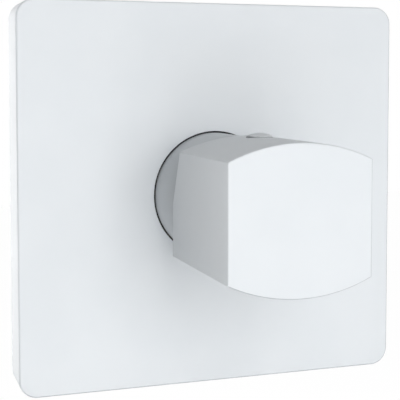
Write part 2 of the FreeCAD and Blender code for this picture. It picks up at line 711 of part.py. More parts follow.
def make_disc_carrier():
    """Slider between the rotor's rails, with a socket for the spindle's ball."""
    body = along_y(CARRIER_R, CARRIER_RIM_Y, MOVING_FRONT_Y, 0, DISC_REST_Z)
    keep = block(
        -CARRIER_HALF_FLAT, CARRIER_HALF_FLAT, CARRIER_RIM_Y, MOVING_FRONT_Y,
        -2 * CARRIER_R, 2 * CARRIER_R,
    )
    socket = along_y(BALL_R + SOCKET_GAP, CARRIER_RIM_Y - REACH_PAST, MOVING_FRONT_Y + REACH_PAST)
    pin_end = MOVING_FRONT_Y + DRIVE_PIN_LENGTH - DRIVE_FIT
    pins = drive_pins(DRIVE_PIN_R, MOVING_FRONT_Y - REACH_PAST, pin_end)
    return fused([body.common(keep)] + pins).cut(socket)


def make_turning_guide():
    """Rotor that turns in the housing, carries the pivot pin and guides the slider."""
    flange = along_y(ROTOR_R, ROTOR_STEP_Y, ROTOR_BACK_Y)
    neck = along_y(ROTOR_NECK_R, ROTOR_FRONT_Y, ROTOR_STEP_Y)
    parts = [flange, neck]
    rail_x = CARRIER_HALF_FLAT + CARRIER_SLIDE_GAP
    for side in (-1, 1):
        near, far = sorted((side * rail_x, side * (rail_x + RAIL_T)))
        rail_end = ROTOR_BACK_Y + RAIL_DEPTH
        parts.append(block(near, far, ROTOR_BACK_Y, rail_end, -RAIL_HALF_HEIGHT, RAIL_HALF_HEIGHT))
    tangent = math.tan(math.radians(LIFT_DEG))
    rise = (PIVOT_Y - ROTOR_FRONT_Y) * tangent
    half = SPINDLE_SIDE / 2 / math.cos(math.radians(LIFT_DEG)) + SLOT_GAP
    hub = HUB_R + SLOT_GAP
    tail_y = ROTOR_BACK_Y + REACH_PAST
    drop = (tail_y - PIVOT_Y) * tangent
    neck_half = NECK_R / math.cos(math.radians(LIFT_DEG)) + 2 * SLOT_GAP
    slot = side_prism(
        [
            (ROTOR_FRONT_Y - REACH_PAST, -half),
            (PIVOT_Y, -hub),
            (tail_y, -drop - neck_half - HUB_R / 2),
            (tail_y, hub),
            (PIVOT_Y, hub),
            (PIVOT_Y - HUB_R, half + HUB_R * tangent + SLOT_GAP),
            (ROTOR_FRONT_Y - REACH_PAST, half + rise + 2 * SLOT_GAP),
        ],
        SPINDLE_SIDE / 2 + SLOT_GAP,
    )
    pin_hole = Part.makeCylinder(
        PIN_R + PIN_PRESS_GAP, 2 * ROTOR_R, V(-ROTOR_R, PIVOT_Y, 0), X_DIR
    )
    stop_gap = sector(
        STOP_RIB_R - STOP_CLEAR, ROTOR_R + REACH_PAST, TURN_DEG + STOP_HALF_DEG + STOP_PLAY_DEG, -90,
        ROTOR_STEP_Y - REACH_PAST, ROTOR_BACK_Y + REACH_PAST,
    )
    return fused(parts).cut([slot, pin_hole, stop_gap])


def make_pivot_pin():
    """Pin across the rotor on which the lever lifts."""
    return Part.makeCylinder(PIN_R, 2 * PIN_HALF_LENGTH, V(-PIN_HALF_LENGTH, PIVOT_Y, 0), X_DIR)


def make_lever_spindle():
    """Square bar with a hub on the pin and a ball that pushes the slider."""
    half = SPINDLE_SIDE / 2
    bar = block(-half, half, PIVOT_Y - SPINDLE_FRONT, PIVOT_Y, -half, half)
    tip = [e for e in bar.Edges if e.BoundBox.YMax < PIVOT_Y - SPINDLE_FRONT + SAME]
    bar = bar.makeChamfer(SPINDLE_CHAMFER, tip)
    hub = Part.makeCylinder(HUB_R, SPINDLE_SIDE, V(-half, PIVOT_Y, 0), X_DIR)
    neck = along_y(NECK_R, PIVOT_Y, BALL_Y)
    ball = Part.makeSphere(BALL_R, V(0, BALL_Y, 0))
    bore = Part.makeCylinder(PIN_R + PIN_RUN_GAP, 2 * SPINDLE_SIDE, V(-SPINDLE_SIDE, PIVOT_Y, 0), X_DIR)
    return fused([bar, hub, neck, ball]).cut(bore)


def handle_relief():
    """Wedge cut from the upper back of the handle so that it can lift."""
    top = HANDLE_HALF_APEX + REACH_PAST
    forward = top * math.tan(math.radians(HANDLE_RELIEF_DEG))
    return side_prism(
        [
            (HANDLE_BACK_Y, 0),
            (HANDLE_BACK_Y - forward, top),
            (HANDLE_BACK_Y + REACH_PAST, top),
            (HANDLE_BACK_Y + REACH_PAST, 0),
        ],
        HANDLE_HALF_WIDTH + REACH_PAST,
    )


def make_handle():
    """Hollow cast block: arched shell, dome clearance, spindle boss, screw column and webs."""
    block_outer = barrel_prism(
        HANDLE_HALF_WIDTH, HANDLE_HALF_FLAT, HANDLE_HALF_APEX, HANDLE_FRONT_Y, HANDLE_BACK_Y
    )
    soft = [e for e in block_outer.Edges if e.BoundBox.YMin < HANDLE_BACK_Y - SAME]
    block_outer = block_outer.makeFillet(HANDLE_EDGE_R, soft)
    inner_front = HANDLE_FRONT_Y + HANDLE_FRONT_WALL
    cavity = barrel_prism(
        HANDLE_HALF_WIDTH - HANDLE_WALL, HANDLE_HALF_FLAT - HANDLE_FLAT_INSET,
        HANDLE_HALF_APEX - HANDLE_WALL, inner_front, HANDLE_BACK_Y + REACH_PAST,
    )
    dome_room = Part.makeSphere(DOME_R + HANDLE_DOME_GAP, V(0, PIVOT_Y, 0))
    shell = block_outer.cut([cavity, dome_room])
    half = BOSS_SIDE / 2
    boss_back = PIVOT_Y - DOME_R
    wide = HANDLE_HALF_WIDTH + REACH_PAST
    inside = fused([
        block(-half, half, inner_front - REACH_PAST, boss_back, -half, half),
        Part.makeCylinder(COLUMN_R, HANDLE_HALF_APEX, V(0, SCREW_Y, 0), Z_DIR),
        block(-wide, wide, inner_front - REACH_PAST, SCREW_Y, -BOSS_WEB / 2, BOSS_WEB / 2),
        block(-BOSS_WEB / 2, BOSS_WEB / 2, inner_front - REACH_PAST, SCREW_Y, -HANDLE_HALF_APEX, 0),
    ])
    inside = inside.common(block_outer.cut(shell)).cut(dome_room)
    hole_half = SPINDLE_SIDE / 2 + SQUARE_FIT
    spindle_end = PIVOT_Y - SPINDLE_FRONT - SQUARE_FIT
    socket = block(-hole_half, hole_half, spindle_end, HANDLE_BACK_Y, -hole_half, hole_half)
    screw_way = Part.makeCylinder(GRUB_R + GRUB_FIT, 2 * HANDLE_HALF_APEX, V(0, SCREW_Y, 0), Z_DIR)
    seat_floor = V(0, SCREW_Y, HANDLE_HALF_APEX - PLUG_SEAT_DEPTH)
    seat = Part.makeCylinder(PLUG_R + PLUG_FIT, PLUG_SEAT_DEPTH + REACH_PAST, seat_floor, Z_DIR)
    return shell.fuse(inside).removeSplitter().cut([handle_relief(), socket, screw_way, seat])


def make_grub_screw():
    """Headless screw that clamps the spindle."""
    bottom = SPINDLE_SIDE / 2
    screw = Part.makeCylinder(GRUB_R, GRUB_LENGTH, V(0, SCREW_Y, bottom), Z_DIR)
    top = bottom + GRUB_LENGTH
    turns = [math.radians(60 * i) for i in range(6)]
    points = [V(HEX_R * math.cos(t), SCREW_Y + HEX_R * math.sin(t), top - HEX_DEPTH) for t in turns]
    key = Part.Face(Part.Wire(lines(points))).extrude(V(0, 0, HEX_DEPTH + REACH_PAST))
    return screw.cut(key)


def make_screw_plug():
    """Domed round cap over the grub screw, its rim just below the handle's crown."""
    floor_z = HANDLE_HALF_APEX - PLUG_SEAT_DEPTH
    crown_z = HANDLE_HALF_APEX + PLUG_PROUD
    crown_r = (PLUG_R ** 2 + PLUG_DOME ** 2) / (2 * PLUG_DOME)
    body = Part.makeCylinder(PLUG_R, crown_z - floor_z, V(0, SCREW_Y, floor_z), Z_DIR)
    return body.common(Part.makeSphere(crown_r, V(0, SCREW_Y, crown_z - crown_r), X_DIR))


NODES = {
    "cover_plate": make_cover_plate,
    "plate_gasket": make_plate_gasket,
    "plate_carrier": make_plate_carrier,
    "carrier_screws": make_carrier_screws,
    "plate_seal": make_plate_seal,
    "sleeve": make_sleeve,
    "dome_cap": make_dome_cap,
    "sleeve_rings": make_sleeve_rings,
    "valve_body": make_valve_body,
    "clamp_nut": make_clamp_nut,
    "cartridge_housing": make_cartridge_housing,
    "cartridge_base": make_cartridge_base,
    "port_seals": lambda: seal_group(SEAT_Y - PORT_SEAL_T, SEAT_Y),
    "disc_seals": lambda: seal_group(BASE_FRONT_Y, BASE_FRONT_Y + PORT_SEAL_T),
    "fixed_disc": make_fixed_disc,
    "moving_disc": make_moving_disc,
    "disc_carrier": make_disc_carrier,
    "turning_guide": make_turning_guide,
    "pivot_pin": make_pivot_pin,
    "lever_spindle": make_lever_spindle,
    "handle": make_handle,
    "grub_screw": make_grub_screw,
    "screw_plug": make_screw_plug,
}

os.makedirs("parts", exist_ok=True)
for name, make in NODES.items():
    shape = make()
    shape.exportStep("parts/" + name + ".step")
    print(name, len(shape.Solids), shape.isValid(), round(shape.Volume, 1))
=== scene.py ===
"""Concealed shower mixer: finishes, fine added pieces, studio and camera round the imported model."""

import logging
import math
from abc import ABC, abstractmethod
from dataclasses import dataclass
from enum import Enum
from functools import cached_property
from typing import Any, Mapping, Optional, Sequence, Union

import bmesh
import bpy
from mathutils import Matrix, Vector


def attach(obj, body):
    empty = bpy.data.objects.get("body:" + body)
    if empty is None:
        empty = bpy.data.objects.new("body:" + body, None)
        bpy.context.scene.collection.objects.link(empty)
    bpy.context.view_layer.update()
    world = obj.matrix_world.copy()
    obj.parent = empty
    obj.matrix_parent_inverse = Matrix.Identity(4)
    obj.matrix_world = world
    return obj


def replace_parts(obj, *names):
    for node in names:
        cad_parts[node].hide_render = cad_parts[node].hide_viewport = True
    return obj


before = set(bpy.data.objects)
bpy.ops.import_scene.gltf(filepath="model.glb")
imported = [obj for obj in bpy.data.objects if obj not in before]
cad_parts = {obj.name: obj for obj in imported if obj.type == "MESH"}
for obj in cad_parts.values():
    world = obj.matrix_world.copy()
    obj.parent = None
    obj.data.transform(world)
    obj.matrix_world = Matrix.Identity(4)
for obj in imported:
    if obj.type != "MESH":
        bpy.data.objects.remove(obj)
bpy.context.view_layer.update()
LOG = logging.getLogger("mixer")

Rgb = tuple[float, float, float]
Point = tuple[float, float, float]
Stretch = tuple[float, float, float]
Limits = tuple[float, float]
Number = Union["Sock", float]

WHITE: Rgb = (1.0, 1.0, 1.0)
ORIGIN: Point = (0.0, 0.0, 0.0)

# Turn of a surface, as one minus the cosine, at which an edge starts to count and counts in full.
EDGE_TURN: Limits = (0.01, 0.12)
BEVEL_SAMPLES = 6

# Numbers of a Mix node's colour sockets, whose names are shared by its other kinds of data.
MIX_SHARE = 0
MIX_FIRST = 6
MIX_SECOND = 7
MIX_RESULT = 2


class Body(Enum):
    """Rigid bodies that added pieces ride on."""

    WALL = "wall_unit"


class Slot(Enum):
    """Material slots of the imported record."""

    ENAMEL = "white_enamel"
    CAP = "white_cap"
    RUBBER = "black_rubber"
    FOAM = "grey_foam"
    BLACK = "black_plastic"
    GREY = "grey_plastic"
    WHITE = "white_plastic"
    STEEL = "steel"
    CAST = "cast_brass"
    TURNED = "turned_brass"
    WHITE_CERAMIC = "ceramic_white"
    GREY_CERAMIC = "ceramic_grey"


class Axis(Enum):
    """Axes of the shared frame, by place in a vector."""

    X = 0
    Y = 1
    Z = 2


Added = tuple[bpy.types.Object, Body, Slot]


class Sock:
    """One output of a node, on which Python arithmetic adds Math nodes."""

    def __init__(self, nodes: "Nodes", out: bpy.types.NodeSocket) -> None:
        """Keeps the output and the tree that takes new nodes."""
        self.nodes = nodes
        self.out = out

    def __add__(self, other: Number) -> "Sock":
        """Sum."""
        return self.nodes.math("ADD", self, other)

    __radd__ = __add__

    def __sub__(self, other: Number) -> "Sock":
        """Difference."""
        return self.nodes.math("SUBTRACT", self, other)

    def __rsub__(self, other: Number) -> "Sock":
        """Difference from a value on the left."""
        return self.nodes.math("SUBTRACT", other, self)

    def __mul__(self, other: Number) -> "Sock":
        """Product."""
        return self.nodes.math("MULTIPLY", self, other)

    __rmul__ = __mul__

    def __pow__(self, other: Number) -> "Sock":
        """Power."""
        return self.nodes.math("POWER", self, other)

    def __abs__(self) -> "Sock":
        """Size without sign."""
        return self.nodes.math("ABSOLUTE", self)

    def sine(self) -> "Sock":
        """Sine of an angle in radians."""
        return self.nodes.math("SINE", self)

    def most(self, other: Number) -> "Sock":
        """The larger of two values."""
        return self.nodes.math("MAXIMUM", self, other)

    def swing(self, reach: float) -> "Sock":
        """A value about one half, brought to about zero and scaled."""
        return (self - 0.5) * reach

    def band(self, low: float, high: float) -> "Sock":
        """Soft step from 0 to 1.

        Args:
            low: value that gives 0.
            high: value that gives 1. It may be below low for a falling step.

        Returns:
            The stepped value.
        """
        if low > high:
            return 1.0 - self.band(high, low)
        sockets = {"Value": self, "From Min": low, "From Max": high}
        node = self.nodes.add("ShaderNodeMapRange", {"interpolation_type": "SMOOTHSTEP"}, sockets)
        return Sock(self.nodes, node.outputs[0])


class Nodes:
    """A node tree with one way to add any node."""

    def __init__(self, tree: bpy.types.NodeTree) -> None:
        """Empties the tree and keeps it."""
        self.tree = tree
        self.tree.nodes.clear()

    def add(
        self,
        kind: str,
        settings: Optional[Mapping[str, Any]] = None,
        sockets: Optional[Mapping[Union[int, str], Any]] = None,
    ) -> bpy.types.Node:
        """Adds a node of any kind.

        Args:
            kind: Blender's name of the node type.
            settings: properties of the node, set first.
            sockets: value or link of each input, by name or number.

        Returns:
            The new node.
        """
        node = self.tree.nodes.new(kind)
        for key, value in (settings or {}).items():
            setattr(node, key, value)
        for key, value in (sockets or {}).items():
            self.feed(node.inputs[key], value)
        return node

    def feed(self, socket: bpy.types.NodeSocket, value: Any) -> None:
        """Links an output to an input, or sets the input's own value.

        Args:
            socket: the input.
            value: a Sock, a node's output, a number, a colour or a vector.
        """
        if isinstance(value, Sock):
            value = value.out
        if isinstance(value, bpy.types.NodeSocket):
            self.tree.links.new(value, socket)
        elif isinstance(value, (tuple, list)) and socket.type == "RGBA":
            socket.default_value = (*value, 1.0)
        else:
            socket.default_value = value

    def math(self, operation: str, *values: Number) -> Sock:
        """Adds a Math node.

        Args:
            operation: Blender's name of the operation.
            values: one or two operands.

        Returns:
            The result.
        """
        node = self.add("ShaderNodeMath", {"operation": operation}, dict(enumerate(values)))
        return Sock(self, node.outputs[0])

    def blend(self, share: Number, first: bpy.types.Node, second: bpy.types.Node) -> bpy.types.NodeSocket:
        """Mix of two shaders.

        Args:
            share: part of the second shader.
            first: node of the first shader.
            second: node of the second shader.

        Returns:
            The mixed shader.
        """
        sockets = {0: share, 1: first.outputs[0], 2: second.outputs[0]}
        return self.add("ShaderNodeMixShader", None, sockets).outputs[0]


class FinishTree(Nodes):
    """Node tree of one finish on a Principled shader, in object coordinates."""

    def __init__(self, name: str) -> None:
        """Makes a material with a shader and an output.

        Args:
            name: name of the material.
        """
        self.material = bpy.data.materials.new(name)
        self.material.use_nodes = True
        super().__init__(self.material.node_tree)
        self.shader = self.add("ShaderNodeBsdfPrincipled")
        self.add("ShaderNodeOutputMaterial", None, {"Surface": self.shader.outputs[0]})
        coordinates = self.add("ShaderNodeTexCoord").outputs
        self.place = coordinates["Object"]
        self.facing = coordinates["Normal"]

    @cached_property
    def axes(self) -> list[Sock]:
        """The three parts of a place on the piece."""
        return self.split(self.place)

    def put(self, **inputs: Any) -> None:
        """Feeds the shader's own inputs.

        Args:
            inputs: input names with underscores for spaces, and their values or links.
        """
        for key, value in inputs.items():
            self.feed(self.shader.inputs[key.replace("_", " ")], value)

    def split(self, vector: bpy.types.NodeSocket) -> list[Sock]:
        """The three parts of a vector."""
        return [Sock(self, out) for out in self.add("ShaderNodeSeparateXYZ", None, {0: vector}).outputs]

    def noise(self, size: float, detail: float, stretch: Optional[Stretch] = None) -> Sock:
        """Cloudy noise.

        Args:
            size: size of a cloud in metres.
            detail: number of finer layers.
            stretch: scale of each axis, for drawn-out noise.

        Returns:
            A value about 0.5.
        """
        place = self.place
        if stretch:
            scaled = {0: place, 1: stretch}
            place = self.add("ShaderNodeVectorMath", {"operation": "MULTIPLY"}, scaled).outputs[0]
        sockets = {"Vector": place, "Scale": 1.0 / size, "Detail": detail}
        return Sock(self, self.add("ShaderNodeTexNoise", None, sockets).outputs[0])

    def cells(self, size: float) -> Sock:
        """Distance from the centres of random cells of a size in metres."""
        sockets = {"Vector": self.place, "Scale": 1.0 / size}
        return Sock(self, self.add("ShaderNodeTexVoronoi", None, sockets).outputs["Distance"])

    def tint(self, share: Number, first: Any, second: Any) -> bpy.types.NodeSocket:
        """Mix of two colours.

        Args:
            share: part of the second colour.
            first: colour or output.
            second: colour or output.

        Returns:
            The mixed colour.
        """
        sockets = {MIX_SHARE: share, MIX_FIRST: first, MIX_SECOND: second}
        return self.add("ShaderNodeMix", {"data_type": "RGBA"}, sockets).outputs[MIX_RESULT]

    def from_axis(self, axis: Axis, centre: Point = ORIGIN) -> Sock:
        """Distance from a line along one of the frame's axes.

        Args:
            axis: direction of the line.
            centre: a point on it.

        Returns:
            The distance in metres.
        """
        first, second = [other.value for other in Axis if other is not axis]
        along = self.axes[first] - centre[first]
        across = self.axes[second] - centre[second]
        return (along * along + across * across) ** 0.5

    def rounded(self, radius: float) -> bpy.types.NodeSocket:
        """Normal of the surface with its edges rounded to a radius in metres."""
        return self.add("ShaderNodeBevel", {"samples": BEVEL_SAMPLES}, {"Radius": radius}).outputs[0]

    def edges(self, radius: float) -> Sock:
        """Mask of the edges.

        Args:
            radius: reach of an edge in metres.

        Returns:
            A value that is 1 on edges.
        """
        face = self.add("ShaderNodeNewGeometry")
        sockets = {0: self.rounded(radius), 1: face.outputs["True Normal"]}
        dot = self.add("ShaderNodeVectorMath", {"operation": "DOT_PRODUCT"}, sockets)
        return (1.0 - Sock(self, dot.outputs["Value"])).band(*EDGE_TURN)

    def relief(self, *layers: tuple[Number, float], edge: float = 0.0) -> bpy.types.NodeSocket:
        """Normal of a surface with fine height layers.

        Args:
            layers: height from 0 to 1 and its depth in metres, from coarse to fine.
            edge: radius of softened edges in metres, or 0 for none.

        Returns:
            The normal.
        """
        normal = self.rounded(edge) if edge else None
        for height, depth in layers:
            sockets: dict[str, Any] = {"Height": height, "Distance": depth, "Strength": 1.0}
            if normal:
                sockets["Normal"] = normal
            normal = self.add("ShaderNodeBump", None, sockets).outputs[0]
        return normal


class Finish(ABC):
    """A finish that can be made into a material."""

    def material(self, name: str) -> bpy.types.Material:
        """Material of this finish.

        Args:
            name: name of the material.

        Returns:
            The material.
        """
        tree = FinishTree(name)
        self.dress(tree)
        return tree.material

    @abstractmethod
    def dress(self, tree: FinishTree) -> None:
        """Adds the finish's nodes to a tree."""


@dataclass(frozen=True)
class Enamel(Finish):
    """Baked white coat.

    It has faint clouds, a light orange peel and thin cover on all edges, with painted shade on the
    rounded edges that turn to the right and lower sides and painted near-black shade in the cap's seat.
    """

    colour: Rgb = (0.790, 0.822, 0.848)
    cloud_colour: Rgb = (0.772, 0.806, 0.834)
    # Colour of the thin cover on all edges and of the painted shade on the right and lower edges.
    edge_colour: Rgb = (0.49, 0.52, 0.545)
    # Painted near-black shade for the recess round the cap.
    seat_shade_colour: Rgb = (0.06, 0.06, 0.065)
    seat_centre: Point = (0.0, -0.0661, 0.0)
    seat_r: float = 0.00482
    seat_soft: float = 0.00001
    seat_rise: float = 0.001
    cloud_size: float = 0.035
    cloud_limits: Limits = (0.35, 0.65)
    peel_size: float = 0.0011
    peel_depth: float = 0.0000022
    speck_size: float = 0.0004
    rough: float = 0.46
    rough_swing: float = 0.08
    specular: float = 0.3
    edge_r: float = 0.00035
    edge_share: float = 0.06
    # Share of the painted shade on the right and lower edges, and the slant, facing and side that pick
    # them out.
    rim_shade_share: float = 0.95
    rim_slant: Limits = (0.35, 0.95)
    rim_front: Limits = (0.0, -0.1)
    rim_side: Limits = (-0.3, 0.3)

    def shaded_rims(self, tree: FinishTree) -> Sock:
        """Mask of painted shade on edges that round from the front to the right and lower sides.

        Args:
            tree: the tree that takes the nodes.

        Returns:
            A value that is 1 where the surface slants half way from front to side.
        """
        # Painted shade: edges are darkened by which way they face, to the right and downwards.
        across, lean, rise = tree.split(tree.facing)
        # Twice sine times cosine of the lean: 0 on front and sides, 1 half way between.
        slant = abs(lean) * (1.0 - lean * lean).most(0.0) ** 0.5 * 2.0
        front = slant.band(*self.rim_slant) * lean.band(*self.rim_front)
        return front * (across - rise).band(*self.rim_side)

    def seat(self, tree: FinishTree) -> Sock:
        """Mask of the cap's seat in the handle's top, which takes painted near-black shade.

        Args:
            tree: the tree that takes the nodes.

        Returns:
            A value that is 1 in the seat.
        """
        inside = tree.from_axis(Axis.Z, self.seat_centre).band(self.seat_r, self.seat_r - self.seat_soft)
        return inside * tree.axes[Axis.Z.value].band(0.0, self.seat_rise)

    def dress(self, tree: FinishTree) -> None:
        """Adds clouded white, peel, thin edges, painted shade on the right and lower edges and in the
        cap's seat.

        Args:
            tree: the tree that takes the nodes.
        """
        cloud = tree.noise(self.cloud_size, detail=3.0)
        speck = tree.noise(self.speck_size, detail=1.0)
        peel = tree.noise(self.peel_size, detail=2.0)
        # Thin cover on all edges, with painted shade on the right and lower edges.
        edge = (tree.edges(self.edge_r) * self.edge_share).most(self.shaded_rims(tree) * self.rim_shade_share)
        base = tree.tint(cloud.band(*self.cloud_limits), self.colour, self.cloud_colour)
        coat = tree.tint(edge, base, self.edge_colour)
        tree.put(
            # Painted near-black shade in the cap's seat.
            Base_Color=tree.tint(self.seat(tree), coat, self.seat_shade_colour),
            Roughness=self.rough + speck.swing(self.rough_swing) + cloud.swing(self.rough_swing),
            Normal=tree.relief((peel, self.peel_depth), edge=self.edge_r),
            Specular_IOR_Level=self.specular,
        )


@dataclass(frozen=True)
class Moulded(Finish):
    """Moulded plastic: eroded mould grain, soft flow streaks and edges in a colour of their own, rubbed
    brighter on most pieces and darker as painted shade on the cap.
    """

    colour: Rgb = (0.05, 0.05, 0.055)
    streak_colour: Rgb = (0.065, 0.065, 0.07)
    edge_colour: Rgb = (0.12, 0.12, 0.125)
    grain_size: float = 0.0005
    grain_depth: float = 0.00002
    streak_size: float = 0.012
    streak_stretch: Stretch = (1.0, 0.35, 1.0)
    streak_limits: Limits = (0.4, 0.62)
    rough: float = 0.48
    rough_swing: float = 0.14
    specular: float = 0.45
    edge_r: float = 0.0003
    edge_share: float = 0.5

    def coat(self, tree: FinishTree, base: bpy.types.NodeSocket) -> bpy.types.NodeSocket:
        """Painted shade laid over the moulding, here none."""
        return base

    def dress(self, tree: FinishTree) -> None:
        """Adds streaked colour, grain and coloured edges.

        Args:
            tree: the tree that takes the nodes.
        """
        grain = tree.noise(self.grain_size, detail=3.0)
        streak = tree.noise(self.streak_size, detail=3.0, stretch=self.streak_stretch)
        edge = tree.edges(self.edge_r) * self.edge_share
        base = tree.tint(streak.band(*self.streak_limits), self.colour, self.streak_colour)
        tree.put(
            Base_Color=self.coat(tree, tree.tint(edge, base, self.edge_colour)),
            Roughness=self.rough + grain.swing(self.rough_swing) + streak.swing(self.rough_swing),
            Normal=tree.relief((grain, self.grain_depth), edge=self.edge_r),
            Specular_IOR_Level=self.specular,
        )


@dataclass(frozen=True)
class CapMoulding(Moulded):
    """Moulded cap with painted shade as a dark line round its foot, where it meets the handle."""

    foot_z: float = 0.0251
    foot_soft: float = 0.0001
    # Painted shade where the cap meets the handle.
    foot_shade_colour: Rgb = (0.30, 0.31, 0.32)

    def coat(self, tree: FinishTree, base: bpy.types.NodeSocket) -> bpy.types.NodeSocket:
        """Painted shade laid over the moulding as a dark line round the foot.

        Args:
            tree: the tree that takes the nodes.
            base: colour of the moulding.

        Returns:
            The colour with the painted shade.
        """
        # Painted shade: a dark band on the cap's foot, just above the handle's top.
        foot = tree.axes[Axis.Z.value].band(self.foot_z + self.foot_soft, self.foot_z)
        return tree.tint(foot, base, self.foot_shade_colour)


@dataclass(frozen=True)
class Rubber(Finish):
    """Moulded rubber: matt, with a grey bloom and fine pores."""

    colour: Rgb = (0.030, 0.030, 0.032)
    bloom_colour: Rgb = (0.075, 0.075, 0.077)
    bloom_size: float = 0.006
    bloom_limits: Limits = (0.45, 0.75)
    pore_size: float = 0.0003
    pore_limits: Limits = (0.0, 0.5)
    pore_depth: float = 0.000015
    rough: float = 0.72
    rough_swing: float = 0.16
    specular: float = 0.3

    def dress(self, tree: FinishTree) -> None:
        """Adds bloom and pores.

        Args:
            tree: the tree that takes the nodes.
        """
        bloom = tree.noise(self.bloom_size, detail=4.0)
        pore = tree.cells(self.pore_size).band(*self.pore_limits)
        tree.put(
            Base_Color=tree.tint(bloom.band(*self.bloom_limits), self.colour, self.bloom_colour),
            Roughness=self.rough + bloom.swing(self.rough_swing),
            Normal=tree.relief((pore, self.pore_depth)),
            Specular_IOR_Level=self.specular,
        )


@dataclass(frozen=True)
class Foam(Finish):
    """Closed-cell foam: small domed cells with darker walls between them."""

    colour: Rgb = (0.20, 0.20, 0.21)
    wall_colour: Rgb = (0.10, 0.10, 0.105)
    cloud_colour: Rgb = (0.25, 0.25, 0.26)
    cell_size: float = 0.0007
    cell_depth: float = 0.00012
    wall_limits: Limits = (0.25, 0.7)
    wall_share: float = 0.8
    cloud_size: float = 0.01
    cloud_limits: Limits = (0.35, 0.7)
    rough: float = 0.9
    cloud_gloss: float = 0.08
    specular: float = 0.15

    def dress(self, tree: FinishTree) -> None:
        """Adds cells and clouds.

        Args:
            tree: the tree that takes the nodes.
        """
        wall = tree.cells(self.cell_size).band(*self.wall_limits)
        cloud = tree.noise(self.cloud_size, detail=3.0).band(*self.cloud_limits)
        base = tree.tint(cloud, self.colour, self.cloud_colour)
        tree.put(
            Base_Color=tree.tint(wall * self.wall_share, base, self.wall_colour),
            Roughness=self.rough - cloud * self.cloud_gloss,
            Normal=tree.relief((1.0 - wall, self.cell_depth)),
            Specular_IOR_Level=self.specular,
        )


@dataclass(frozen=True)
class Turned(Finish):
    """Metal turned on a lathe or plated over turning: fine rings, soft stains, bright edges."""

    colour: Rgb = (0.74, 0.56, 0.27)
    stain_colour: Rgb = (0.50, 0.35, 0.15)
    edge_colour: Rgb = (0.86, 0.70, 0.42)
    axis: Axis = Axis.Y
    ring_pitch: float = 0.00035
    ring_depth: float = 0.000006
    ring_rough: float = 0.05
    stain_size: float = 0.009
    stain_limits: Limits = (0.48, 0.75)
    stain_share: float = 0.7
    stain_rough: float = 0.16
    rough: float = 0.27
    edge_r: float = 0.0002
    edge_share: float = 0.6

    def dress(self, tree: FinishTree) -> None:
        """Adds turning rings, stains and edges.

        Args:
            tree: the tree that takes the nodes.
        """
        radius = tree.from_axis(self.axis)
        along = tree.axes[self.axis.value]
        wobble = tree.noise(self.stain_size, detail=2.0)
        phase = (radius + along) * (math.tau / self.ring_pitch) + wobble * math.tau
        ring = phase.sine() * 0.5 + 0.5
        stain = tree.noise(self.stain_size, detail=5.0).band(*self.stain_limits)
        edge = tree.edges(self.edge_r) * self.edge_share
        base = tree.tint(stain * self.stain_share, self.colour, self.stain_colour)
        tree.put(
            Base_Color=tree.tint(edge, base, self.edge_colour),
            Metallic=1.0,
            Roughness=self.rough + stain * self.stain_rough + ring.swing(self.ring_rough),
            Normal=tree.relief((ring, self.ring_depth), edge=self.edge_r),
        )


